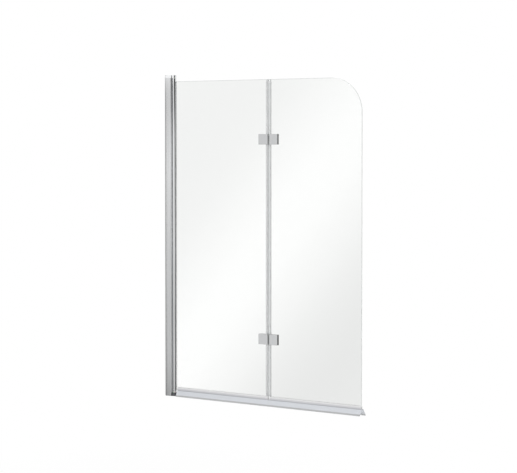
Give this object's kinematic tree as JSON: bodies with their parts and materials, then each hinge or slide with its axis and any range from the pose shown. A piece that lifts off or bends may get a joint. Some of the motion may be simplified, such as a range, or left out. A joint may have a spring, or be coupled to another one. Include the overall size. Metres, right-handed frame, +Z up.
{
  "type": "folding bath screen",
  "caption": "Folding bath screen: clear glass panels hinged together, hung on an adjustable wall profile with a round pivot post, with sealing strips and a rounded free top corner.",
  "frame": {"origin": "on the wall, in the middle of the wall channel's width, level with the rim of the bath", "axes": "+X from the wall along the glass to the free end, +Y into the shower, +Z up"},
  "size_m": [1.01, 0.0395, 1.4],
  "materials": {
    "aluminium_profile": "polished anodised aluminium extrusion",
    "silver_cap": "silver coated moulded ABS",
    "bearing_plastic": "dark moulded nylon",
    "clear_glass": "clear toughened float glass, ground and polished edges",
    "clear_pvc": "clear extruded PVC",
    "bottom_seal_pvc": "translucent extruded PVC",
    "black_rubber": "black EPDM",
    "hinge_chrome": "chrome plated die-cast zinc",
    "stainless_steel": "stainless steel, plain",
    "nylon": "natural nylon"
  },
  "bodies": {
    "wall_fixing": {"wall_channel": "aluminium_profile", "clamp_screws": "stainless_steel", "clamp_nuts": "stainless_steel", "clamp_screw_covers": "nylon"},
    "carrier": {"adjustable_profile": "aluminium_profile", "top_cap": "silver_cap", "bottom_bearing": "bearing_plastic", "top_pivot_pin": "stainless_steel", "bottom_pivot_pin": "stainless_steel"},
    "inner_panel": {"inner_bottom_seal": "bottom_seal_pvc", "inner_fold_seal_bottom": "clear_pvc", "inner_fold_seal_middle": "clear_pvc", "inner_fold_seal_top": "clear_pvc", "inner_glass": "clear_glass", "inner_hinge_gaskets": "black_rubber", "inner_hinge_screws": "stainless_steel", "inner_hole_sleeves": "nylon", "lower_hinge_inner_front_plate": "hinge_chrome", "lower_hinge_inner_leaf": "hinge_chrome", "lower_hinge_pin": "stainless_steel", "lower_hinge_washers": "nylon", "upper_hinge_inner_front_plate": "hinge_chrome", "upper_hinge_inner_leaf": "hinge_chrome", "upper_hinge_pin": "stainless_steel", "upper_hinge_washers": "nylon", "pivot_post": "aluminium_profile", "top_bush": "nylon", "bottom_bush": "nylon", "glazing_gasket": "clear_pvc"},
    "outer_panel": {"lower_hinge_outer_front_plate": "hinge_chrome", "lower_hinge_outer_leaf": "hinge_chrome", "outer_bottom_seal": "bottom_seal_pvc", "outer_fold_seal_bottom": "clear_pvc", "outer_fold_seal_middle": "clear_pvc", "outer_fold_seal_top": "clear_pvc", "outer_glass": "clear_glass", "outer_hinge_gaskets": "black_rubber", "outer_hinge_screws": "stainless_steel", "outer_hole_sleeves": "nylon", "upper_hinge_outer_front_plate": "hinge_chrome", "upper_hinge_outer_leaf": "hinge_chrome"}
  },
  "joints": [
    {"name": "width_adjustment", "type": "slide", "parent": "wall_fixing", "child": "carrier", "axis": [1, 0, 0], "range_m": [0, 0.01]},
    {"name": "wall_pivot", "type": "hinge", "parent": "carrier", "child": "inner_panel", "pos_m": [0.042, 0, 0], "axis": [0, 0, 1], "range_deg": [-90, 90]},
    {"name": "fold", "type": "hinge", "parent": "inner_panel", "child": "outer_panel", "pos_m": [0.5455, 0.016, 0], "axis": [0, 0, 1], "range_deg": [0, 180]}
  ]
}
